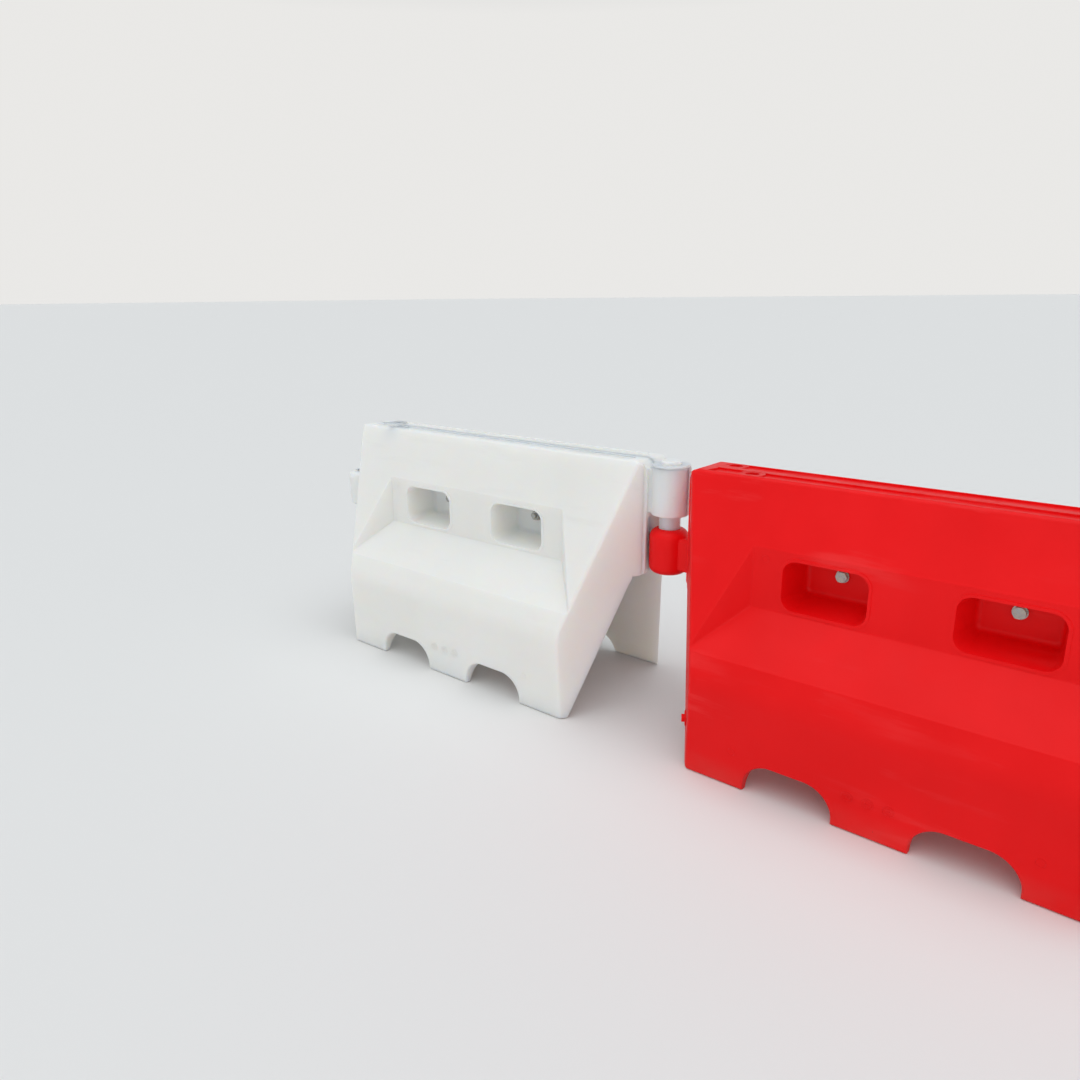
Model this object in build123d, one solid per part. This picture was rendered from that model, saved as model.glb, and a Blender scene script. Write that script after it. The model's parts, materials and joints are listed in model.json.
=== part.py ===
from build123d import *
import math
import os

os.makedirs("parts", exist_ok=True)

# A linked pair of water filled road barriers: a white one on the left, a red one on the right.
# Each barrier is two blow moulded half tanks, bolted back to back on the run's middle plane.
# X runs along the barriers, -Y is the front, +Z is up. The origin is on the ground, on the axis
# of the pin that links the two barriers. A barrier is modelled about its own middle, and only
# its front tank (y < 0): the rear tank is the mirror image with its filler further left.

# ---- body of one barrier -----------------------------------------------------------------
PITCH = 1000.0                 # from one link pin to the next
BODY_HALF = 450.0              # middle to the flat end of the spine
HEIGHT = 550.0
TOP_HALF = 50.0                # middle plane to the edge between the top and the slope
CREASE_HALF = 200.0            # widest line, where the slope turns into the skirt
CREASE_Z = 190.0
FOOT_HALF = 192.0
FOOT_THICK = 14.0
CREASE_R = 90.0
TOP_R = 9.0
CORNER_R = 10.0                # corners between the long sides and the ends
END_TOP_R = 26.0               # upper corners of the ends, seen from the front
SPINE_FOOT_R = 12.0            # lower corners of the spine's ends

# ---- ends --------------------------------------------------------------------------------
SPINE_HALF = 37.0              # half the width of the flat end of the spine
END_X = 444.8                  # the angled end face starts here, beside the spine
END_Y = 42.0
END_FAR_X = 349.0              # and passes through this point low on the skirt
END_FAR_Y = 188.0
END_GROOVE = 5.0               # depth of the groove beside the spine

# ---- open channel under the barrier ------------------------------------------------------
ROOF_Z = 306.0
ROOF_HALF = 55.0
LEG_TOP_HALF = 64.0
LEG_TOP_Z = 290.0
LEG_END_X = 433.0

# ---- stepped recess and its pockets ------------------------------------------------------
RECESS_TOP_Z = 434.0
RECESS_BACK = 98.0             # back wall, from the middle plane
SHELF_Z = 320.0                # foot of the back wall, where the 45 degree shelf starts
RECESS_HALF = 278.0            # half length at the back wall
POCKET_X = 144.0
POCKET_Z = 374.0
POCKET_LONG = 152.0
POCKET_TALL = 92.0
POCKET_R = 24.0
POCKET_FLOOR = 18.0            # back wall of the pocket, from the middle plane
POCKET_TAPER = 9.0             # degrees
POCKET_FLOOR_R = 10.0
INNER_R = 5.0                  # inside corners of the recess
OUTER_R = 5.0                  # outside edges of the recess
LIP_WIDE = 5.0
LIP_PROUD = 1.6

# ---- arches for fork tines and run-off, under each leg -----------------------------------
ARCH_IN = 64.0
ARCH_OUT = 228.0
ARCH_TALL = 61.0
ARCH_R = 52.0
FOOT_R = 5.0                   # outer edge of the feet and arches

# ---- top ---------------------------------------------------------------------------------
TROUGH_FROM = 8.0              # shallow trough along the top of each tank
TROUGH_TO = 42.0
TROUGH_DEEP = 3.5
TROUGH_END = 410.0
TROUGH_R = 10.0
TROUGH_SPLIT = -360.0          # a filler left of this closes the trough's left end
LANDING_R = 112.0              # round landing at the left end, about the link's axis

# ---- filler ------------------------------------------------------------------------------
FILLER_X = (-325.0, -385.0)    # front tank, rear tank
FILLER_Y = 25.5
FILLER_PAD_R = 24.0
FILLER_SEAT_R = 20.0
FILLER_SEAT_DEEP = 4.5
FILLER_BORE_R = 16.5
FILLER_BORE_DEEP = 34.0

# ---- link --------------------------------------------------------------------------------
LUG_X = 484.5                  # axis of the lug at the right end
BALL_X = PITCH - LUG_X         # axis of the socket ball at the left end
LUG_Z0 = 437.0
LUG_Z1 = 536.0
LUG_R = 40.5
LUG_TAPER = 0.6                # degrees
LUG_EDGE_R = 4.0
LUG_WEB_HALF = 30.0
BALL_Z0 = 313.0
BALL_Z1 = 408.0
BALL_R = 40.5
BALL_SHOULDER_R = 18.0         # upper rounding of the ball
BALL_BELLY_R = 15.0            # lower rounding
NECK_HALF = 21.0
NECK_Z0 = 324.0
NECK_Z1 = 394.0
NECK_R = 8.0
SCALLOP_R = 47.5               # relief in the spine for the next barrier's ball
SCALLOP_Z1 = 430.0
PIN_R = 22.0
PIN_PLAY = 0.3
BORE_R = PIN_R + PIN_PLAY
SOCKET_FLOOR_Z = 320.0

# ---- link pin ----------------------------------------------------------------------------
PIN_TIP_Z = 322.0
PIN_TIP_CHAMFER = 4.0
PIN_GROOVE_R = 20.5            # relief under the lug, so that the shoulder can't bind
PIN_GROOVE_TALL = 4.0
PIN_FLANGE_R = 38.5
PIN_FLANGE_TALL = 6.0
FLANGE_PLAY = 1.5              # gap between the flange and the spine
PIN_KNOB_R = 20.5
PIN_KNOB_TALL = 8.0
PIN_CORE_R = 14.0              # the pin is moulded hollow, open at the tip
PIN_CORE_Z1 = 530.0

# ---- filler cap --------------------------------------------------------------------------
SEAL_THICK = 1.5
CAP_FLANGE_R = 19.6
CAP_FLANGE_TALL = 2.6
CAP_BODY_R = 16.2
CAP_BODY_DEEP = 22.0
CAP_CUP_R = 13.5
CAP_CUP_DEEP = 10.0
CAP_GRIP_THICK = 4.0
CAP_GRIP_DROP = 2.0

# ---- drain -------------------------------------------------------------------------------
DRAIN_Y = 168.0                # on the angled left end face
DRAIN_Z = 92.0
DRAIN_SPOT_R = 17.0
DRAIN_SPOT_DEEP = 3.0
DRAIN_BORE_R = 10.0
DRAIN_BORE_DEEP = 26.0
PLUG_FLANGE_R = 15.0
PLUG_FLANGE_TALL = 4.0
PLUG_HEX_R = 8.5
PLUG_HEX_TALL = 6.0
PLUG_BODY_R = 9.8
PLUG_BODY_DEEP = 18.0

# ---- M12 tie bolts through the back walls of the pockets ---------------------------------
BOLT_X = 142.0
BOLT_Z = 385.0
BOLT_R = 6.0
BOLT_HOLE_R = 6.6
HEX_ACROSS = 19.0
HEX_TURNED = 1.2               # how far the turned top cuts into the corners
HEAD_TALL = 7.5
NUT_TALL = 10.0
BOLT_PAST_NUT = 5.0
WASHER_R = 12.0
WASHER_THICK = 2.5

BASE = (Align.CENTER, Align.CENTER, Align.MIN)
WHITE_X = -LUG_X               # middle of each barrier in the pair
RED_X = BALL_X


def front_half_section():
    """Outline of one tank on the YZ plane, from the middle plane to the front skirt."""
    outline = Polyline(
        (0, HEIGHT),
        (-TOP_HALF, HEIGHT),
        (-CREASE_HALF, CREASE_Z),
        (-FOOT_HALF, 0),
        (-FOOT_HALF + FOOT_THICK, 0),
        (-LEG_TOP_HALF, LEG_TOP_Z),
        (-ROOF_HALF, ROOF_Z),
        (0, ROOF_Z),
        close=True,
    )
    section = make_face(Plane.YZ * outline)
    top_edge = section.vertices().sort_by(Axis.Z)[-2:].sort_by(Axis.Y)[0]
    section = fillet(top_edge, TOP_R)
    crease = section.vertices().sort_by(Axis.Y)[0]
    return fillet(crease, CREASE_R)


def end_face_x(y):
    """X of the angled end face at a distance y from the middle plane."""
    slope = (END_X - END_FAR_X) / (END_FAR_Y - END_Y)
    return END_X - slope * (y - END_Y)


def plan_outline():
    """Plan of one tank: blunt spine, a groove, then the angled end face, on both ends."""
    reach = CREASE_HALF + 20
    right = [
        (BODY_HALF, 0),
        (BODY_HALF, -SPINE_HALF),
        (END_X - END_GROOVE, -(SPINE_HALF + END_Y) / 2),
        (END_X, -END_Y),
        (end_face_x(reach), -reach),
    ]
    left = [(-x, y) for x, y in reversed(right)]
    return make_face(Polyline(*right, *left, close=True))


def front_outline():
    """Front view of the body: the spine's ends overhang the legs, and have rounded corners."""
    right = [
        (BODY_HALF, HEIGHT),
        (BODY_HALF, ROOF_Z),
        (LEG_END_X, ROOF_Z),
        (LEG_END_X, 0),
    ]
    left = [(-x, z) for x, z in reversed(right)]
    face = make_face(Plane.XZ * Polyline(*right, *left, close=True))
    face = fillet(face.vertices().sort_by(Axis.Z)[-2:], END_TOP_R)
    spine_feet = [v for v in face.vertices() if abs(v.Z - ROOF_Z) < 1 and abs(v.X) > LEG_END_X + 1]
    return fillet(spine_feet, SPINE_FOOT_R)


def wedge():
    """The tank before anything is cut from it."""
    bar = extrude(front_half_section(), amount=BODY_HALF, both=True)
    block = bar & extrude(plan_outline(), amount=HEIGHT)
    block = block & extrude(front_outline(), amount=CREASE_HALF + 10, both=True)
    corners = [e for e in block.edges() if is_long_corner(e)]
    return fillet(corners, CORNER_R)


def is_long_corner(edge):
    """True for the corner lines between the slope or skirt and the angled end faces."""
    c = edge.center()
    on_end = abs(abs(c.X) - end_face_x(-c.Y)) < 1
    slope_y = TOP_HALF + (HEIGHT - c.Z) * (CREASE_HALF - TOP_HALF) / (HEIGHT - CREASE_Z)
    outside = -c.Y > min(slope_y, CREASE_HALF) - 12
    return on_end and outside and edge.length > 20


def recess_cutter():
    """Stepped recess: a vertical back wall over a 45 degree shelf, with splayed side walls."""
    reach = CREASE_HALF + 30 - RECESS_BACK
    step = make_face(Plane.YZ * Polyline(
        (-RECESS_BACK, RECESS_TOP_Z + 40),
        (-RECESS_BACK, SHELF_Z),
        (-RECESS_BACK - reach, SHELF_Z - reach),
        (-RECESS_BACK - reach, RECESS_TOP_Z + 40),
        close=True,
    ))
    splay = make_face(Polyline(
        (-RECESS_HALF, -RECESS_BACK),
        (RECESS_HALF, -RECESS_BACK),
        (RECESS_HALF + reach, -RECESS_BACK - reach),
        (-RECESS_HALF - reach, -RECESS_BACK - reach),
        close=True,
    ))
    prism = extrude(step, amount=CREASE_HALF * 2, both=True)
    return prism & extrude(splay, amount=HEIGHT)


def edges_at(solid, *places):
    """The edges whose middles are at these places, given by distance from the middle, Y and Z."""
    near = []
    for edge in solid.edges():
        c = edge @ 0.5
        if any(math.dist((abs(c.X), c.Y, c.Z), place) < 2 for place in places):
            near.append(edge)
    return near


def round_recess(tank):
    """Rounds the recess: its inside corners first, then the edges that it makes with the slope."""
    wall_top_z = HEIGHT - (RECESS_BACK - TOP_HALF) * (HEIGHT - CREASE_Z) / (CREASE_HALF - TOP_HALF)
    inside = edges_at(
        tank,
        (RECESS_HALF, -RECESS_BACK, (wall_top_z + SHELF_Z) / 2),
        (0, -RECESS_BACK, SHELF_Z),
        (317, -137, 281),
    )
    tank = tank.fillet(INNER_R, inside)
    outside = [e for e in tank.edges() if abs((e @ 0.5).Z - wall_top_z) < 2 and abs((e @ 0.5).Y + RECESS_BACK) < 2]
    sides = [e for e in tank.edges() if abs(abs((e @ 0.5).X) - 316) < 4 and abs((e @ 0.5).Z - 344) < 5]
    return tank.fillet(OUTER_R, outside + sides)


def round_feet(tank):
    """Rounds the outer edge of the feet and of the arches between them."""
    low = [e for e in tank.edges() if (e @ 0.5).Z < ARCH_TALL + 1 and (e @ 0.5).Y < 4 - FOOT_HALF]
    return tank.fillet(FOOT_R, low)


def pocket_face(grow=0.0):
    """Mouth of a pocket on the recess's back wall, at the barrier's middle."""
    plane = Plane(origin=(0, -RECESS_BACK, POCKET_Z), x_dir=(1, 0, 0), z_dir=(0, -1, 0))
    return plane * RectangleRounded(POCKET_LONG + 2 * grow, POCKET_TALL + 2 * grow, POCKET_R + grow)


def pocket_cutter():
    """Tapered pocket with a soft floor, at the barrier's middle."""
    deep = RECESS_BACK - POCKET_FLOOR
    cone = extrude(pocket_face(), amount=-deep, taper=POCKET_TAPER)
    floor_edges = cone.faces().sort_by(Axis.Y)[-1].edges()
    return fillet(floor_edges, POCKET_FLOOR_R) + extrude(pocket_face(), amount=2 * LIP_PROUD)


def arch_cutter():
    """Arch through a leg, at its real place right of the middle."""
    wide = ARCH_OUT - ARCH_IN
    face = make_face(Plane.XZ * Polyline(
        (ARCH_IN, -ARCH_TALL),
        (ARCH_IN, ARCH_TALL),
        (ARCH_OUT, ARCH_TALL),
        (ARCH_OUT, -ARCH_TALL),
        close=True,
    ))
    face = fillet(face.vertices().sort_by(Axis.Z)[-2:], min(ARCH_R, wide / 2 - 1))
    return extrude(face, amount=CREASE_HALF + 20, both=True)


def trough_cutter(start_x):
    """Shallow trough along the tank's top, kept off the round landing by the socket ball."""
    long = TROUGH_END - start_x
    wide = TROUGH_TO - TROUGH_FROM
    floor = Pos(TROUGH_END - long / 2, -(TROUGH_FROM + TROUGH_TO) / 2, HEIGHT - TROUGH_DEEP)
    bar = floor * extrude(RectangleRounded(long, wide, TROUGH_R), amount=TROUGH_DEEP + 5)
    landing = Pos(-BALL_X, 0, HEIGHT - TROUGH_DEEP) * Cylinder(LANDING_R, 4 * TROUGH_DEEP)
    return bar - landing


def filler_place(filler_x):
    """Centre of the filler at the tank's top face."""
    return Pos(filler_x, -FILLER_Y, HEIGHT)


def stub(radius, z_low, z_high):
    """Upright cylinder between two heights, on the local Z axis."""
    return Pos(0, 0, z_low) * Cylinder(radius, z_high - z_low, align=BASE)


def filler_cutter():
    """Stepped hole for the filler cap, measured down from the tank's top."""
    seat = stub(FILLER_SEAT_R, -FILLER_SEAT_DEEP, 5)
    bore = stub(FILLER_BORE_R, -FILLER_BORE_DEEP, 0)
    return seat + bore


def lug():
    """Round lug at the right end with its web to the spine, before the pin's bore."""
    tall = LUG_Z1 - LUG_Z0
    drum = Pos(LUG_X, 0, LUG_Z1) * extrude(Circle(LUG_R), amount=-tall, taper=LUG_TAPER)
    drum = fillet(drum.edges().sort_by(Axis.Z)[0], LUG_EDGE_R)
    web_long = LUG_X - BODY_HALF + 12
    web_middle = (BODY_HALF - 12 + LUG_X) / 2
    web = Pos(web_middle, 0, (LUG_Z0 + LUG_Z1) / 2 + 1) * Box(web_long, 2 * LUG_WEB_HALF, tall - 8)
    return drum + web


def ball():
    """Barrel shaped socket ball at the left end with its neck, before the pin's bore."""
    drum = Pos(-BALL_X, 0, 0) * stub(BALL_R, BALL_Z0, BALL_Z1)
    drum = fillet(drum.edges().sort_by(Axis.Z)[-1], BALL_SHOULDER_R)
    drum = fillet(drum.edges().sort_by(Axis.Z)[0], BALL_BELLY_R)
    neck_long = BALL_X - BODY_HALF + 12
    neck_face = Plane.YZ * Pos(0, (NECK_Z0 + NECK_Z1) / 2) * RectangleRounded(2 * NECK_HALF, NECK_Z1 - NECK_Z0, NECK_R)
    neck = Pos(-BALL_X, 0, 0) * extrude(neck_face, amount=neck_long)
    return drum + neck


def front_side(solid):
    """The part of a link fitting that is moulded on the front tank."""
    room = 4 * BALL_R
    return solid & Pos(solid.center().X, -room / 2, HEIGHT / 2) * Box(2 * room, room, 2 * HEIGHT)


def drain_plane():
    """Plane of the angled left end face at the drain, with its normal pointing outwards."""
    slope = math.atan2(END_X - END_FAR_X, END_FAR_Y - END_Y)
    normal = (-math.cos(slope), -math.sin(slope), 0)
    return Plane(origin=(-end_face_x(DRAIN_Y), -DRAIN_Y, DRAIN_Z), x_dir=(0, 0, 1), z_dir=normal)


def drain_cutter():
    """Spot face and blind bore for the drain plug."""
    holes = stub(DRAIN_SPOT_R, -DRAIN_SPOT_DEEP, 10) + stub(DRAIN_BORE_R, -DRAIN_BORE_DEEP, 0)
    return drain_plane().location * holes


def bolt_holes():
    """Clearance holes for the tie bolts, from the pocket to the middle plane."""
    hole = Rot(90, 0, 0) * Cylinder(BOLT_HOLE_R, 2 * RECESS_BACK)
    return Pos(BOLT_X, 0, BOLT_Z) * hole + Pos(-BOLT_X, 0, BOLT_Z) * hole


def front_tank(filler_x):
    """One tank, front side. filler_x is where its filler is."""
    tank = round_recess((wedge() - recess_cutter()).solid())
    for side in (-1, 1):
        tank += Pos(side * POCKET_X, 0, 0) * extrude(pocket_face(LIP_WIDE), amount=LIP_PROUD)
    for side in (-1, 1):
        tank -= Pos(side * POCKET_X, 0, 0) * pocket_cutter()
    tank -= arch_cutter()
    tank -= mirror(arch_cutter(), Plane.YZ)
    tank = round_feet(tank)
    start_x = filler_x if filler_x < TROUGH_SPLIT else -BALL_X
    tank -= trough_cutter(start_x) - filler_place(filler_x) * stub(FILLER_PAD_R, -2 * TROUGH_DEEP, 10)
    tank -= Pos(LUG_X, 0, 0) * stub(SCALLOP_R, ROOF_Z - 5, SCALLOP_Z1)
    tank -= Pos(LUG_X, 0, 0) * stub(PIN_FLANGE_R + FLANGE_PLAY, LUG_Z1, HEIGHT + 5)
    tank += front_side(lug())
    tank += front_side(ball())
    tank -= Pos(LUG_X, 0, 0) * stub(BORE_R, LUG_Z0 - 5, LUG_Z1 + 5)
    tank -= Pos(-BALL_X, 0, 0) * stub(BORE_R, SOCKET_FLOOR_Z, BALL_Z1 + 5)
    tank -= filler_place(filler_x) * filler_cutter()
    tank -= drain_cutter()
    tank -= bolt_holes()
    return tank.solids()[0]


def rear_tank(filler_x):
    """The mirror image of a front tank, with the filler in its own place."""
    return mirror(front_tank(filler_x), Plane.XZ)


def link_pin():
    """Hollow drop pin on its own axis: shank, flange that rests on the lug, and a knob to pull."""
    flange_z = LUG_Z1
    shank = stub(PIN_R, PIN_TIP_Z, flange_z + 1)
    shank = chamfer(shank.edges().sort_by(Axis.Z)[0], PIN_TIP_CHAMFER)
    groove_z = LUG_Z0 - PIN_GROOVE_TALL
    shank -= stub(PIN_R + 1, groove_z, LUG_Z0) - stub(PIN_GROOVE_R, groove_z, LUG_Z0)
    flange = stub(PIN_FLANGE_R, flange_z, flange_z + PIN_FLANGE_TALL)
    flange = chamfer(flange.edges().sort_by(Axis.Z)[-1], 1.2)
    knob = stub(PIN_KNOB_R, flange_z, flange_z + PIN_FLANGE_TALL + PIN_KNOB_TALL)
    knob = chamfer(knob.edges().sort_by(Axis.Z)[-1], 2)
    return shank + flange + knob - stub(PIN_CORE_R, PIN_TIP_Z - 5, PIN_CORE_Z1)


def filler_seal():
    """Flat ring under the filler cap's flange, measured down from the tank's top."""
    low = -FILLER_SEAT_DEEP
    high = low + SEAL_THICK
    return stub(CAP_FLANGE_R, low, high) - stub(FILLER_BORE_R, low - 1, high + 1)


def filler_cap():
    """Push-in bung: flange, tapered cup and a grip bar across the cup."""
    flange_z = SEAL_THICK - FILLER_SEAT_DEEP
    top_z = flange_z + CAP_FLANGE_TALL
    flange = stub(CAP_FLANGE_R, flange_z, top_z)
    body = stub(CAP_BODY_R, flange_z - CAP_BODY_DEEP, top_z)
    cup = stub(CAP_CUP_R, top_z - CAP_CUP_DEEP, top_z + 1)
    grip = Pos(0, 0, top_z - CAP_CUP_DEEP) * Box(
        2 * CAP_CUP_R + 1,
        CAP_GRIP_THICK,
        CAP_CUP_DEEP - CAP_GRIP_DROP,
        align=BASE,
    )
    return flange + body - cup + grip


def drain_seal():
    """Flat ring in the drain's spot face, along the drain's own axis."""
    low = -DRAIN_SPOT_DEEP
    high = low + SEAL_THICK
    return stub(PLUG_FLANGE_R, low, high) - stub(DRAIN_BORE_R, low - 1, high + 1)


def drain_plug():
    """Hexagon headed plug, along the drain's own axis."""
    low = SEAL_THICK - DRAIN_SPOT_DEEP
    flange = stub(PLUG_FLANGE_R, low, low + PLUG_FLANGE_TALL)
    flange = chamfer(flange.edges().sort_by(Axis.Z)[-1], 1)
    body = stub(PLUG_BODY_R, low - PLUG_BODY_DEEP, low + 1)
    head = Pos(0, 0, low) * extrude(RegularPolygon(PLUG_HEX_R, 6), amount=PLUG_FLANGE_TALL + PLUG_HEX_TALL)
    return flange + body + head


def hexagon(tall):
    """Hexagon prism of an M12 head or nut, from the origin along Z, with its corners turned off."""
    prism = extrude(RegularPolygon(HEX_ACROSS / 2, 6, major_radius=False), amount=tall)
    corner_r = HEX_ACROSS / math.sqrt(3)
    turned = Cone(corner_r - HEX_TURNED + 2 * tall, corner_r - HEX_TURNED, tall, align=BASE)
    return prism & turned


def bolt_axis(side, facing):
    """Place on the tie bolt's axis at the pocket wall. Z points out of the wall that is faced."""
    wall = Plane(origin=(side * BOLT_X, facing * POCKET_FLOOR, BOLT_Z), x_dir=(1, 0, 0), z_dir=(0, facing, 0))
    return wall.location


def tie_bolt(side, facing):
    """M12 bolt with its head on the wall that is faced, right through both tanks."""
    grip = 2 * POCKET_FLOOR + 2 * WASHER_THICK
    shank = stub(BOLT_R, -grip + WASHER_THICK - NUT_TALL - BOLT_PAST_NUT, WASHER_THICK + 1)
    shank = chamfer(shank.edges().sort_by(Axis.Z)[0], 1)
    return bolt_axis(side, facing) * (shank + Pos(0, 0, WASHER_THICK) * hexagon(HEAD_TALL))


def washer(side, facing):
    """Washer on one pocket wall."""
    ring = stub(WASHER_R, 0, WASHER_THICK) - stub(BOLT_HOLE_R, -1, WASHER_THICK + 1)
    return bolt_axis(side, facing) * ring


def tie_nut(side, facing):
    """Nut on the wall opposite the bolt's head."""
    nut = Pos(0, 0, WASHER_THICK) * (hexagon(NUT_TALL) - stub(BOLT_R, -1, NUT_TALL + 1))
    return bolt_axis(side, -facing) * nut


def barrier(head_side):
    """Every piece of one barrier about its own middle, by node name. head_side is -1 for front."""
    front_x, rear_x = FILLER_X
    drain = drain_plane().location
    pieces = {
        "front_tank": front_tank(front_x),
        "rear_tank": rear_tank(rear_x),
        "link_pin": Pos(LUG_X, 0, 0) * link_pin(),
        "tie_bolts": Compound([tie_bolt(side, head_side) for side in (-1, 1)]),
        "tie_nuts": Compound([tie_nut(side, head_side) for side in (-1, 1)]),
        "washers": Compound([washer(side, facing) for side in (-1, 1) for facing in (-1, 1)]),
        "front_filler_seal": filler_place(front_x) * filler_seal(),
        "front_filler_cap": filler_place(front_x) * filler_cap(),
        "rear_filler_seal": mirror(filler_place(rear_x) * filler_seal(), Plane.XZ),
        "rear_filler_cap": mirror(filler_place(rear_x) * filler_cap(), Plane.XZ),
        "front_drain_seal": drain * drain_seal(),
        "front_drain_plug": drain * drain_plug(),
        "rear_drain_seal": mirror(drain * drain_seal(), Plane.XZ),
        "rear_drain_plug": mirror(drain * drain_plug(), Plane.XZ),
    }
    return pieces


for colour, middle_x, head_side in (("white", WHITE_X, 1), ("red", RED_X, -1)):
    for name, piece in barrier(head_side).items():
        export_step(Pos(middle_x, 0, 0) * piece, f"parts/{colour}_{name}.step")
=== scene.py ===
# %% [markdown]
# # Two water filled road barriers on one link
# This lesson finishes a product that is already designed: the solid pieces, their joints and
# their sizes come in as a fixed frame, in metres, and are never moved here. What is left to do is
# what the eye reads first: the skin of the moulded plastic, the zinc on the bolts, the small
# marks that a mould leaves, and the light. The frame is loaded first because every position
# below is worked out from it.

# %% Load the frame
import json
import math
import random

import bmesh
import bpy
from mathutils import Matrix, Vector


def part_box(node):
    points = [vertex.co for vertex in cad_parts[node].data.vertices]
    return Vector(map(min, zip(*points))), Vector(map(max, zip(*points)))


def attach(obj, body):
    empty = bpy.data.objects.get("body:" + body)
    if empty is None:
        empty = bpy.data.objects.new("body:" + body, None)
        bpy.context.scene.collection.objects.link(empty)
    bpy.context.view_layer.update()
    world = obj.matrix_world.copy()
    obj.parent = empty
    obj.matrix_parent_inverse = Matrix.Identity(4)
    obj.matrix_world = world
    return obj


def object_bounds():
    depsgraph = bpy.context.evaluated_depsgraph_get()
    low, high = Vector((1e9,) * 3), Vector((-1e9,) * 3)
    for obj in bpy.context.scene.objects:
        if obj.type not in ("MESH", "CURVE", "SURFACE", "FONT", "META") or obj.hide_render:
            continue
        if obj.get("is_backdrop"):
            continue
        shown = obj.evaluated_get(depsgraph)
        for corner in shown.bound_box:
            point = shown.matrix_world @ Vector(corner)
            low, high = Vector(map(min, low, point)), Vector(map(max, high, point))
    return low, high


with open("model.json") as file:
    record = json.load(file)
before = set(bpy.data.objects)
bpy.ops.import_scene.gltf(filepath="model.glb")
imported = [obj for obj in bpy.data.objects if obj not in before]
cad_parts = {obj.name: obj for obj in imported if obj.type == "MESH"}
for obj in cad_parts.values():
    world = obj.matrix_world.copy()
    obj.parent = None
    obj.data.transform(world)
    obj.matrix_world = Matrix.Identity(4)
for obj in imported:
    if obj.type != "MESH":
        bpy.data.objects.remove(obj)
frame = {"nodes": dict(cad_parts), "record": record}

CAD_LOW, CAD_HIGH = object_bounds()
MM = 0.001
print("box in metres:", [round(v, 3) for v in CAD_HIGH - CAD_LOW])

# %% [markdown]
# ## The camera
# The run is seen from a standing child's eye height, from the right, looking back along it. A
# camera in Blender looks along its own -Z, so its rotation is built from three turns with plain
# names: the pan about the vertical, the tilt down, and a small roll. The lens is
# a wide one, on a 36 mm sensor. No shift and no depth of field, so that the other views of the
# object, which reuse this camera, stay honest.

# %% Camera
EYE = Vector((0.891, -1.461, 0.871))
PAN = math.radians(40.4)
TILT_DOWN = math.radians(16.07)
ROLL = math.radians(-0.556)
LENS_MM = 28.2


def make_camera():
    """A camera at eye height, turned by pan, tilt and roll."""
    data = bpy.data.cameras.new("camera")
    data.lens = LENS_MM
    data.sensor_width = 36.0
    camera = bpy.data.objects.new("camera", data)
    turn = Matrix.Rotation(PAN, 4, "Z")
    turn = turn @ Matrix.Rotation(math.radians(90) - TILT_DOWN, 4, "X")
    turn = turn @ Matrix.Rotation(ROLL, 4, "Z")
    camera.matrix_world = Matrix.Translation(EYE) @ turn
    bpy.context.scene.collection.objects.link(camera)
    bpy.context.scene.camera = camera
    return camera


camera = make_camera()
print("camera at", [round(v, 3) for v in camera.matrix_world.translation])

# %% [markdown]
# ## Floor and light
# A barrier stands outdoors under a whole sky, so its upper faces are bright and its undersides
# are dark, with no hard shadow anywhere. A sun lamp is that sky: its angle is opened so wide that
# it shines from a quarter of the sky at once, and it lights the floor evenly to the horizon. A
# weak lamp behind the camera opens the shaded faces, and a pale world fills the rest. The floor is
# a plain pale sheet: it also throws light back up on to the skirts, as pale ground does.
# The colours of the plastic are strong, so the plain display transform is used, which leaves
# them as they are.

# %% Floor, world and lamps
FLOOR_HALF = 300.0
FLOOR_GAP = 0.0005             # just under the feet, so that the two faces never share a plane
FLOOR_COLOUR = (0.80, 0.797, 0.785, 1.0)
ZENITH_COLOUR = (0.86, 0.93, 1.0, 1.0)
HORIZON_COLOUR = (1.0, 0.99, 0.97, 1.0)
ZENITH_STRENGTH = 0.24
HORIZON_STRENGTH = 0.82
HORIZON_TOP = 0.34             # sine of the height where the pale band ends
BAND_FADE = (0.8, 1.6)         # the fade to the sky above, as shares of that height
SKY_FROM = Vector((0.06, -0.16, 1.0))
SKY_ANGLE = math.radians(85)
SKY_STRENGTH = 1.98
SKY_COLOUR = (0.955, 0.98, 1.0)
FRONT_AT = Vector((2.4, -4.4, 1.9))
FRONT_SIZE = 3.0
FRONT_WATTS = 15.0
FRONT_COLOUR = (1.0, 0.975, 0.94)


def make_floor():
    """One flat square under the feet of the barriers."""
    corners = [(-FLOOR_HALF, -FLOOR_HALF), (FLOOR_HALF, -FLOOR_HALF),
               (FLOOR_HALF, FLOOR_HALF), (-FLOOR_HALF, FLOOR_HALF)]
    mesh = bpy.data.meshes.new("floor")
    mesh.from_pydata([(x, y, CAD_LOW.z - FLOOR_GAP) for x, y in corners], [], [(0, 1, 2, 3)])
    floor = bpy.data.objects.new("floor", mesh)
    bpy.context.scene.collection.objects.link(floor)
    material = bpy.data.materials.new("pale_floor")
    material.use_nodes = True
    shader = material.node_tree.nodes["Principled BSDF"]
    shader.inputs["Base Color"].default_value = FLOOR_COLOUR
    shader.inputs["Roughness"].default_value = 0.9
    mesh.materials.append(material)
    floor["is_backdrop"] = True
    return floor


def make_lamp(name, kind, at, colour, strength):
    """A lamp of one kind, aimed at the middle of the pair."""
    data = bpy.data.lights.new(name, kind)
    data.energy = strength
    data.color = colour
    lamp = bpy.data.objects.new(name, data)
    aim = (CAD_LOW + CAD_HIGH) / 2 - at
    lamp.matrix_world = Matrix.Translation(at) @ aim.to_track_quat("-Z", "Y").to_matrix().to_4x4()
    bpy.context.scene.collection.objects.link(lamp)
    return lamp


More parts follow.
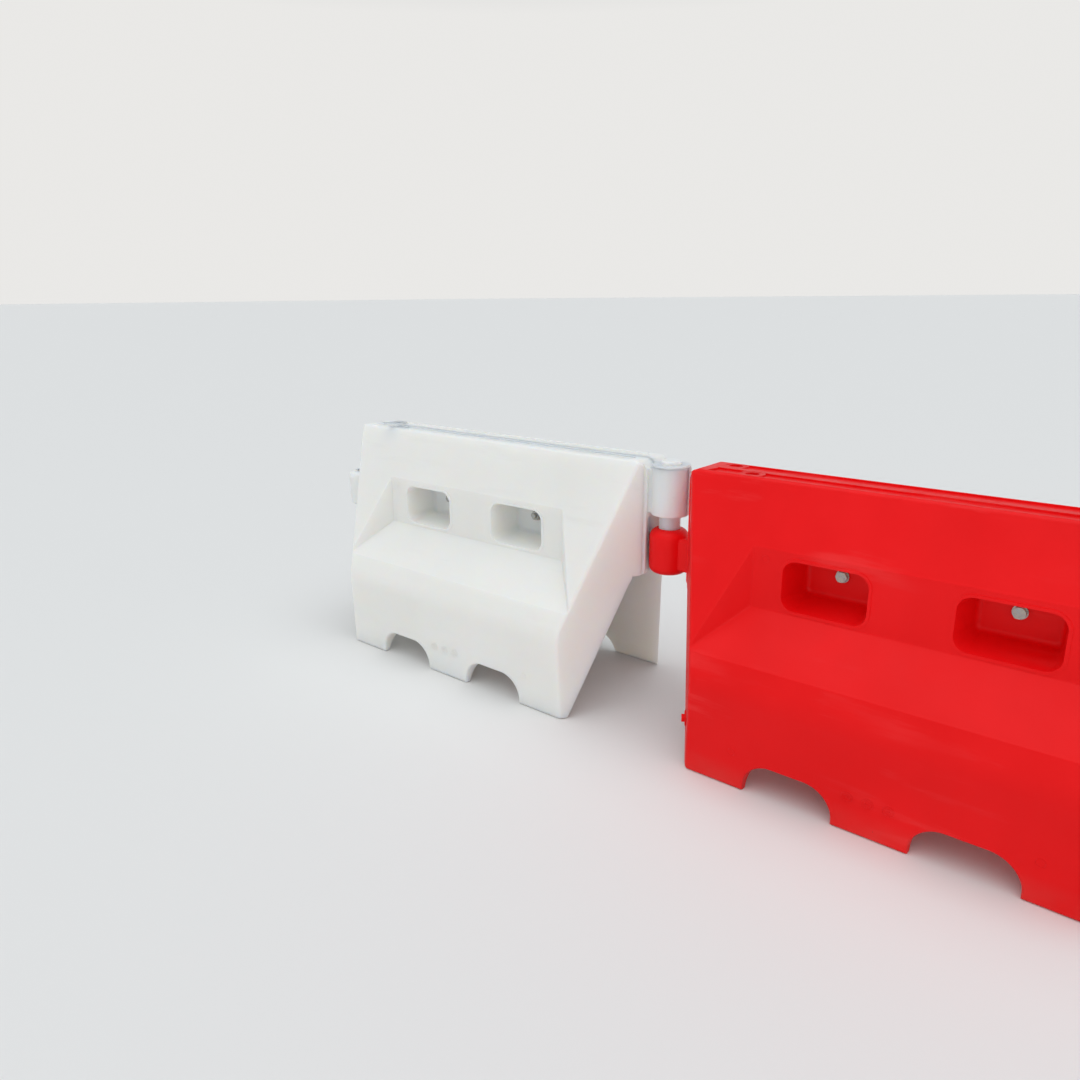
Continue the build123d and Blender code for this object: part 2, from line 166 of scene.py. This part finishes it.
def make_world():
    """A pale band round the horizon under a dimmer, bluer sky."""
    world = bpy.data.worlds.new("pale_sky")
    world.use_nodes = True
    nodes, links = world.node_tree.nodes, world.node_tree.links
    split = nodes.new("ShaderNodeSeparateXYZ")
    links.new(nodes.new("ShaderNodeTexCoord").outputs["Generated"], split.inputs["Vector"])
    height = nodes.new("ShaderNodeMapRange")
    height.inputs["From Min"].default_value = HORIZON_TOP * BAND_FADE[0]
    height.inputs["From Max"].default_value = HORIZON_TOP * BAND_FADE[1]
    links.new(split.outputs["Z"], height.inputs["Value"])
    colour = nodes.new("ShaderNodeMix")
    colour.data_type = "RGBA"
    colour.inputs["A"].default_value = HORIZON_COLOUR
    colour.inputs["B"].default_value = ZENITH_COLOUR
    links.new(height.outputs["Result"], colour.inputs["Factor"])
    strength = nodes.new("ShaderNodeMapRange")
    strength.inputs["To Min"].default_value = HORIZON_STRENGTH
    strength.inputs["To Max"].default_value = ZENITH_STRENGTH
    links.new(height.outputs["Result"], strength.inputs["Value"])
    links.new(colour.outputs["Result"], nodes["Background"].inputs["Color"])
    links.new(strength.outputs["Result"], nodes["Background"].inputs["Strength"])
    return world


bpy.context.scene.world = make_world()
bpy.context.scene.view_settings.view_transform = "Standard"
floor = make_floor()
sky_lamp = make_lamp("sky_lamp", "SUN", SKY_FROM * 5, SKY_COLOUR, SKY_STRENGTH)
sky_lamp.data.angle = SKY_ANGLE
front_lamp = make_lamp("front_lamp", "AREA", FRONT_AT, FRONT_COLOUR, FRONT_WATTS)
front_lamp.data.size = FRONT_SIZE
print("lamps:", sky_lamp.name, front_lamp.name)

# %% [markdown]
# ## Small helpers for shader nodes
# A material is a graph, and written out node by node it hides what it is for. These helpers keep
# each later line close to one sentence: take a pattern, turn it into a mask, mix by the mask.
# Every pattern is measured in the object's own metres, so a size in millimetres in the text is
# that size on the product.

# %% Node helpers
class Finish:
    """A material with short names for the nodes that the finishes below use."""

    def __init__(self, name):
        self.material = bpy.data.materials.new(name)
        self.material.use_nodes = True
        self.tree = self.material.node_tree
        self.shader = self.tree.nodes["Principled BSDF"]
        self.place = self.tree.nodes.new("ShaderNodeTexCoord").outputs["Object"]

    def feed(self, socket, value):
        """Links an output to a socket, or sets a plain value on it."""
        if isinstance(value, bpy.types.NodeSocket):
            self.tree.links.new(value, socket)
        else:
            socket.default_value = value

    def stretched(self, x, y, z):
        """The object's coordinates with each axis scaled."""
        node = self.tree.nodes.new("ShaderNodeMapping")
        node.inputs["Scale"].default_value = (x, y, z)
        self.feed(node.inputs["Vector"], self.place)
        return node.outputs["Vector"]

    def noise(self, per_metre, detail=2.0, rough=0.5, place=None):
        """Soft noise with about so many features in a metre."""
        node = self.tree.nodes.new("ShaderNodeTexNoise")
        node.inputs["Scale"].default_value = per_metre
        node.inputs["Detail"].default_value = detail
        node.inputs["Roughness"].default_value = rough
        self.feed(node.inputs["Vector"], place or self.place)
        return node.outputs["Fac"]

    def span(self, value, low, high, to_low=0.0, to_high=1.0):
        """Stretches low..high to to_low..to_high, and stops at both ends."""
        node = self.tree.nodes.new("ShaderNodeMapRange")
        self.feed(node.inputs["Value"], value)
        node.inputs["From Min"].default_value = low
        node.inputs["From Max"].default_value = high
        node.inputs["To Min"].default_value = to_low
        node.inputs["To Max"].default_value = to_high
        return node.outputs["Result"]

    def sum(self, kind, a, b):
        """Arithmetic on two values: ADD, MULTIPLY, MAXIMUM and so on."""
        node = self.tree.nodes.new("ShaderNodeMath")
        node.operation = kind
        self.feed(node.inputs[0], a)
        self.feed(node.inputs[1], b)
        return node.outputs[0]

    def mix(self, mask, under, over):
        """Colour under where the mask is 0, and over where it is 1."""
        node = self.tree.nodes.new("ShaderNodeMix")
        node.data_type = "RGBA"
        self.feed(node.inputs["Factor"], mask)
        self.feed(node.inputs["A"], under)
        self.feed(node.inputs["B"], over)
        return node.outputs["Result"]

    def specks(self, per_metre, radius, share):
        """Round specks: one in a share of the cells of a grid of random points."""
        node = self.tree.nodes.new("ShaderNodeTexVoronoi")
        node.inputs["Scale"].default_value = per_metre
        self.feed(node.inputs["Vector"], self.place)
        edge = radius * per_metre
        near = self.span(node.outputs["Distance"], edge * 0.7, edge, 1.0, 0.0)
        split = self.tree.nodes.new("ShaderNodeSeparateColor")
        self.feed(split.inputs["Color"], node.outputs["Color"])
        chosen = self.span(split.outputs["Red"], 1.0 - share, 1.0 - share + 0.001)
        return self.sum("MULTIPLY", near, chosen)

    def relief(self, height, depth, under=None):
        """A bump of a real depth in metres, on top of another one."""
        node = self.tree.nodes.new("ShaderNodeBump")
        node.inputs["Distance"].default_value = depth
        self.feed(node.inputs["Height"], height)
        if under is not None:
            self.feed(node.inputs["Normal"], under)
        return node.outputs["Normal"]


print("helpers ready")

# %% [markdown]
# ## Moulded polyethylene
# Both barriers are blow moulded from polyethylene, coloured right through. Seen close, such a
# skin is satin, never glossy: the mould is sand blasted, so there is a fine grain; the sheet of
# soft plastic cools against it with a slow ripple; and the wall is a little thicker here and
# thinner there, which shows as cloudy tint because light goes a few millimetres in. Use adds pale
# scuffs that run along the barrier, dark specks of grit, and dust towards the feet.
# One function makes both colours, so that they differ only where the real ones do: the white
# lets more light through. The thin marks of the mould have their own white, without the depth.

# %% Polyethylene in two colours
GRIT = (0.03, 0.02, 0.02, 1.0)
DUST = (0.30, 0.27, 0.23, 1.0)
DUST_TOP = 50 * MM
PLASTIC_IOR = 1.49
SCATTER_REACH = (1.0, 0.8, 0.62)     # red, green, blue


def polyethylene(name, colour, cloud, scuff, scatter, depth, shine):
    """Satin moulded plastic. colour is the body, cloud its darker tint, scuff its rubbed tint."""
    f = Finish(name)
    tint = f.mix(f.span(f.noise(3.2, 3.0), 0.35, 0.68), colour, cloud)
    streak = f.noise(9.0, 3.0, place=f.stretched(1.0, 1.0, 0.22))
    tint = f.mix(f.span(streak, 0.45, 0.75, 0.0, 0.45), tint, cloud)

    long_rubs = f.noise(26.0, 6.0, 0.62, place=f.stretched(0.12, 1.0, 1.0))
    patches = f.span(f.noise(4.5, 2.0), 0.46, 0.62)
    rubs = f.sum("MULTIPLY", f.span(long_rubs, 0.56, 0.66), patches)
    tint = f.mix(f.sum("MULTIPLY", rubs, 0.30), tint, scuff)

    grit = f.sum("MAXIMUM", f.specks(38.0, 0.0007, 0.10), f.specks(95.0, 0.0004, 0.05))
    tint = f.mix(f.sum("MULTIPLY", grit, 0.75), tint, GRIT)

    split = f.tree.nodes.new("ShaderNodeSeparateXYZ")
    f.feed(split.inputs["Vector"], f.place)
    low = f.span(split.outputs["Z"], 0.0, DUST_TOP, 1.0, 0.0)
    dust = f.sum("MULTIPLY", low, f.span(f.noise(11.0, 5.0), 0.35, 0.7, 0.02, 0.14))
    tint = f.mix(dust, tint, DUST)
    f.feed(f.shader.inputs["Base Color"], tint)

    rough = f.span(f.noise(14.0, 4.0), 0.3, 0.7, 0.36, 0.48)
    rough = f.sum("ADD", rough, f.sum("MULTIPLY", f.sum("MAXIMUM", rubs, dust), 0.18))
    f.feed(f.shader.inputs["Roughness"], rough)

    bump = f.relief(f.noise(5.0, 1.0), 0.006)
    bump = f.relief(f.noise(42.0, 2.0), 0.0005, bump)
    bump = f.relief(f.noise(620.0, 3.0, 0.6), 0.00016, bump)
    f.feed(f.shader.inputs["Normal"], bump)

    f.shader.inputs["IOR"].default_value = PLASTIC_IOR
    f.shader.inputs["Specular IOR Level"].default_value = shine
    f.shader.inputs["Subsurface Weight"].default_value = scatter
    f.shader.inputs["Subsurface Radius"].default_value = SCATTER_REACH
    f.shader.inputs["Subsurface Scale"].default_value = depth
    return f.material


RED = polyethylene(
    "red_polyethylene",
    colour=(0.90, 0.006, 0.008, 1.0),
    cloud=(0.80, 0.003, 0.004, 1.0),
    scuff=(0.92, 0.07, 0.07, 1.0),
    scatter=0.12,
    depth=8 * MM,
    shine=0.17,
)
WHITE = polyethylene(
    "white_polyethylene",
    colour=(0.865, 0.86, 0.835, 1.0),
    cloud=(0.83, 0.83, 0.80, 1.0),
    scuff=(0.76, 0.755, 0.73, 1.0),
    scatter=0.85,
    depth=45 * MM,
    shine=0.30,
)
WHITE_MARK = polyethylene(
    "white_polyethylene_thin",
    colour=(0.88, 0.875, 0.85, 1.0),
    cloud=(0.84, 0.84, 0.81, 1.0),
    scuff=(0.76, 0.755, 0.73, 1.0),
    scatter=0.0,
    depth=1 * MM,
    shine=0.30,
)
print("plastics:", RED.name, WHITE.name, WHITE_MARK.name)

# %% [markdown]
# ## Zinc and rubber
# The bolts are zinc plated: a dull silver with a faint yellow and blue bloom from the plating
# bath and fine turning marks. The seals are black rubber, matt and a little dusty.

# %% Zinc plated steel
ZINC_GREY = (0.40, 0.41, 0.42, 1.0)
ZINC_YELLOW = (0.47, 0.45, 0.39, 1.0)
ZINC_WORN = (0.22, 0.22, 0.21, 1.0)
RUBBER_BLACK = (0.018, 0.018, 0.019, 1.0)
RUBBER_DUST = (0.20, 0.19, 0.18, 1.0)


def zinc_plate():
    """Dull plated steel with a blotchy bloom and fine scratches."""
    f = Finish("zinc_plated_steel")
    bloom = f.span(f.noise(160.0, 3.0), 0.35, 0.65)
    tint = f.mix(bloom, ZINC_GREY, ZINC_YELLOW)
    worn = f.span(f.noise(420.0, 4.0), 0.58, 0.66, 0.0, 0.6)
    tint = f.mix(worn, tint, ZINC_WORN)
    f.feed(f.shader.inputs["Base Color"], tint)
    f.shader.inputs["Metallic"].default_value = 1.0
    f.feed(f.shader.inputs["Roughness"], f.span(f.noise(300.0, 3.0), 0.3, 0.7, 0.28, 0.46))
    f.feed(f.shader.inputs["Normal"], f.relief(f.noise(900.0, 4.0), 0.00012))
    return f.material


def seal_rubber():
    """Matt black rubber with a grain and grey dust."""
    f = Finish("seal_rubber")
    dust = f.span(f.noise(90.0, 5.0), 0.45, 0.75, 0.0, 0.25)
    f.feed(f.shader.inputs["Base Color"], f.mix(dust, RUBBER_BLACK, RUBBER_DUST))
    f.feed(f.shader.inputs["Roughness"], f.span(dust, 0.0, 0.25, 0.62, 0.85))
    f.feed(f.shader.inputs["Normal"], f.relief(f.noise(1100.0, 2.0), 0.0001))
    return f.material


ZINC = zinc_plate()
RUBBER = seal_rubber()
FINISH_OF_SLOT = {
    "red_polyethylene": RED,
    "white_polyethylene": WHITE,
    "zinc_plated_steel": ZINC,
    "seal_rubber": RUBBER,
}
print("metal and rubber:", ZINC.name, RUBBER.name)

# %% [markdown]
# ## Dress the solid pieces
# Each solid piece already knows which finish it should have: the record names a slot for it. The
# loop reads that, so a piece can't be missed.

# %% Put each finish on its pieces
def dress(thing, material):
    """Gives an object one material and nothing else."""
    thing.data.materials.clear()
    thing.data.materials.append(material)


for entry in frame["record"]["subparts"]:
    dress(frame["nodes"][entry["node"]], FINISH_OF_SLOT[entry["material_slot"]])

# %% [markdown]
# ## Soften the edges
# Nothing that is blown into a mould has a sharp edge: the plastic is stretched and can't fill the
# last millimetres of a corner. A bevel on every remaining edge of the tanks puts that back, and it
# is what catches the light along the shelf, the recess and the seam on top. The pieces arrive as
# separate faces, so a weld comes first and then the flat triangles are joined, because a bevel
# can only round an edge that two whole faces share.

# %% Bevel the moulded tanks
EDGE_ROUND = 2.6 * MM
EDGE_STEPS = 3
WELD_WITHIN = 0.01 * MM
FLAT_WITHIN = math.radians(0.6)
SHARP_FROM = math.radians(24)


def soften(tank, width):
    """Weld, join flat faces, bevel what is still sharp, and shade smooth."""
    weld = tank.modifiers.new("weld", "WELD")
    weld.merge_threshold = WELD_WITHIN
    flat = tank.modifiers.new("join_flat_faces", "DECIMATE")
    flat.decimate_type = "DISSOLVE"
    flat.angle_limit = FLAT_WITHIN
    bevel = tank.modifiers.new("soft_edges", "BEVEL")
    bevel.width = width
    bevel.segments = EDGE_STEPS
    bevel.limit_method = "ANGLE"
    bevel.angle_limit = SHARP_FROM
    bevel.harden_normals = False
    bevel.miter_outer = "MITER_ARC"
    even = tank.modifiers.new("even_normals", "WEIGHTED_NORMAL")
    even.keep_sharp = False


for colour in ("white", "red"):
    for side in ("front", "rear"):
        soften(frame["nodes"][f"{colour}_{side}_tank"], EDGE_ROUND)
print("softened tanks: 4")

# %% [markdown]
# ## Where things are on a tank
# The marks below sit on the skirts and in the recesses, so their places are worked out once, from
# the box of the front tank: its left end is the socket ball, and the middle of the barrier is a
# known distance from there. The skirt leans by a few millimetres over its height, so a small
# frame of axes is set on it: X along the barrier, Y up the skirt, Z out of it.

# %% Axes on the skirt and the recess wall
BALL_REACH = 556 * MM
FOOT_HALF = 192 * MM
CREASE_HALF = 200 * MM
CREASE_Z = 190 * MM
RECESS_BACK = 98 * MM


def middle_x(colour):
    """X of a barrier's middle."""
    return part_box(f"{colour}_front_tank")[0].x + BALL_REACH


def on_skirt(colour, facing, along, z):
    """Axes on the skirt: facing is -1 at the front and 1 at the back."""
    out = FOOT_HALF + (CREASE_HALF - FOOT_HALF) * z / CREASE_Z
    up = Vector((0, facing * (CREASE_HALF - FOOT_HALF), CREASE_Z)).normalized()
    right = Vector((-facing, 0, 0))
    normal = right.cross(up)
    turn = Matrix((right, up, normal)).transposed().to_4x4()
    return Matrix.Translation((middle_x(colour) - facing * along, facing * out, z)) @ turn


def on_recess(colour, facing, along, z):
    """Axes on the upright back wall of the recess."""
    right = Vector((-facing, 0, 0))
    normal = Vector((0, facing, 0))
    turn = Matrix((right, Vector((0, 0, 1)), normal)).transposed().to_4x4()
    return Matrix.Translation((middle_x(colour) - facing * along, facing * RECESS_BACK, z)) @ turn


print("middles:", round(middle_x("white"), 4), round(middle_x("red"), 4))

# %% [markdown]
# ## Marks of the mould
# Three round date dials are let into the mould low on the skirt, and the round ends of its vent
# plugs print shallow rings. They are low ridges a few tenths of a millimetre high, and they are
# real geometry so that they keep their edge in a raking light. Each ridge is a profile carried
# round a circle. The dials carry only ticks and a pointer, and no letters or figures.

# %% Build the dials and rings
RIDGE = 0.45 * MM
DIAL_R = 9.6 * MM
DIAL_ALONG = (-38 * MM, -4 * MM, 30 * MM)
DIAL_Z = 66 * MM
RING_STEPS = 40


def add_ring(bm, place, radius, width):
    """A half round ridge along a circle."""
    profile = [(-width, -0.3 * RIDGE), (-0.5 * width, 0.8 * RIDGE),
               (0.5 * width, 0.8 * RIDGE), (width, -0.3 * RIDGE)]
    loops = []
    for step in range(RING_STEPS):
        a = 2 * math.pi * step / RING_STEPS
        row = [bm.verts.new(place @ Vector(((radius + d) * math.cos(a),
                                            (radius + d) * math.sin(a), h)))
               for d, h in profile]
        loops.append(row)
    for step, row in enumerate(loops):
        after = loops[(step + 1) % RING_STEPS]
        for k in range(len(profile)):
            n = (k + 1) % len(profile)
            bm.faces.new((row[k], after[k], after[n], row[n]))


def add_bar(bm, place, start, end, width, height=RIDGE):
    """A straight ridge with a rounded back between two points on the surface."""
    along = Vector(end) - Vector(start)
    across = Vector((-along.y, along.x)).normalized() * width
    rings = []
    for point in (Vector(start), Vector(end)):
        profile = ((1, -0.3 * height), (0.5, height), (-0.5, height), (-1, -0.3 * height))
        rings.append([bm.verts.new(place @ Vector((*(point + across * s), h)))
                      for s, h in profile])
    first, last = rings
    for k in range(4):
        n = (k + 1) % 4
        bm.faces.new((first[k], first[n], last[n], last[k]))
    bm.faces.new(first[::-1])
    bm.faces.new(last)


def add_dial(bm, place, pointer):
    """Two rings, ticks between them and a pointer turned by an angle."""
    add_ring(bm, place, DIAL_R, 0.5 * MM)
    add_ring(bm, place, DIAL_R * 0.55, 0.4 * MM)
    for tick in range(12):
        a = math.radians(30 * tick)
        way = Vector((math.cos(a), math.sin(a)))
        add_bar(bm, place, way * DIAL_R * 0.68, way * DIAL_R * 0.86, 0.28 * MM)
    way = Vector((math.cos(pointer), math.sin(pointer)))
    side = Vector((-way.y, way.x))
    tip = way * DIAL_R * 0.42
    add_bar(bm, place, -tip, tip, 0.4 * MM)
    for turn in (-1, 1):
        add_bar(bm, place, tip, tip * 0.35 + side * turn * DIAL_R * 0.2, 0.35 * MM)


def finish_mesh(bm, name, body, material):
    """Turns a bmesh into a piece that rides on a body."""
    bmesh.ops.recalc_face_normals(bm, faces=bm.faces)
    mesh = bpy.data.meshes.new(name)
    bm.to_mesh(mesh)
    bm.free()
    for face in mesh.polygons:
        face.use_smooth = True
    piece = bpy.data.objects.new(name, mesh)
    bpy.context.scene.collection.objects.link(piece)
    dress(piece, material)
    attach(piece, body)
    return piece


WITNESS_RINGS = ((-251 * MM, 71.5 * MM), (246 * MM, 74 * MM))
WITNESS_R = 7 * MM
WITNESS_WIDE = 0.45 * MM
RECESS_RING = (-254 * MM, 415 * MM)
dice = random.Random(7)
for colour in ("white", "red"):
    plastic = WHITE_MARK if colour == "white" else RED
    body, slot = f"{colour}_barrier", f"{colour}_polyethylene"
    for side, facing in (("front", -1), ("rear", 1)):
        bm = bmesh.new()
        for along in DIAL_ALONG:
            pointer = dice.uniform(0, 2 * math.pi)
            add_dial(bm, on_skirt(colour, facing, along, DIAL_Z), pointer)
        finish_mesh(bm, f"{colour}_{side}_date_dials", body, plastic)
        bm = bmesh.new()
        for along, z in WITNESS_RINGS:
            add_ring(bm, on_skirt(colour, facing, along, z), WITNESS_R, WITNESS_WIDE)
        add_ring(bm, on_recess(colour, facing, *RECESS_RING), WITNESS_R, WITNESS_WIDE)
        finish_mesh(bm, f"{colour}_{side}_vent_marks", body, plastic)
print("mould marks: 8 pieces")

# %% [markdown]
# ## The thread on the bolt ends
# Past each nut, a few turns of thread stand out. A helix is the honest way to make one: a small
# triangle carried round the bolt's axis while it climbs by the pitch, 1.75 mm for this size. The
# smooth shank inside it comes from the frame.

# %% Cut the threads
PITCH = 1.75 * MM
BOLT_R = 6 * MM
THREAD_LONG = 4.2 * MM
THREAD_STEPS = 20
THREAD_PROUD = 0.45 * MM
TIP_BARE = 0.8 * MM            # plain shank left at the very tip
NUT_HALF_WIDE = 11 * MM        # across the corners


def add_thread(bm, tip, outward):
    """A helical ridge that ends just short of the bolt's tip."""
    turns = THREAD_LONG / PITCH
    count = int(THREAD_STEPS * turns)
    rows = []
    for step in range(count + 1):
        a = 2 * math.pi * turns * step / count
        back = TIP_BARE + THREAD_LONG * step / count
        swell = min(1.0, 4 * step / count, 4 * (count - step) / count)
        centre = tip - outward * back
        crest = THREAD_PROUD * swell - 0.1 * MM
        row = []
        for d, shift in ((-0.2 * MM, -0.42), (crest, 0.0), (-0.2 * MM, 0.42)):
            r = BOLT_R + d
            ray = Vector((math.cos(a), 0, math.sin(a))) * r
            row.append(bm.verts.new(centre + ray + outward * shift * PITCH))
        rows.append(row)
    for row, after in zip(rows, rows[1:]):
        for k in range(3):
            n = (k + 1) % 3
            bm.faces.new((row[k], after[k], after[n], row[n]))
    bm.faces.new(rows[0][::-1])
    bm.faces.new(rows[-1])


NUT_SIDE = {"white": -1, "red": 1}
for colour, facing in NUT_SIDE.items():
    low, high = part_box(f"{colour}_tie_bolts")
    nut_low, nut_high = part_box(f"{colour}_tie_nuts")
    tip_y = low.y if facing < 0 else high.y
    centre_z = (nut_low.z + nut_high.z) / 2
    half_span = (nut_high.x - nut_low.x) / 2 - NUT_HALF_WIDE
    bm = bmesh.new()
    for side in (-1, 1):
        x = (nut_low.x + nut_high.x) / 2 + side * half_span
        add_thread(bm, Vector((x, tip_y, centre_z)), Vector((0, facing, 0)))
    finish_mesh(bm, f"{colour}_bolt_threads", f"{colour}_barrier",
                ZINC)
print("threads: 4 ends")

# %% [markdown]
# ## The size at the end
# The visible pieces must fill the same box as the solid ones. Both boxes are printed so that
# they can be compared.

# %% Finish
low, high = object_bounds()
print("box now:", [round(v, 4) for v in high - low])
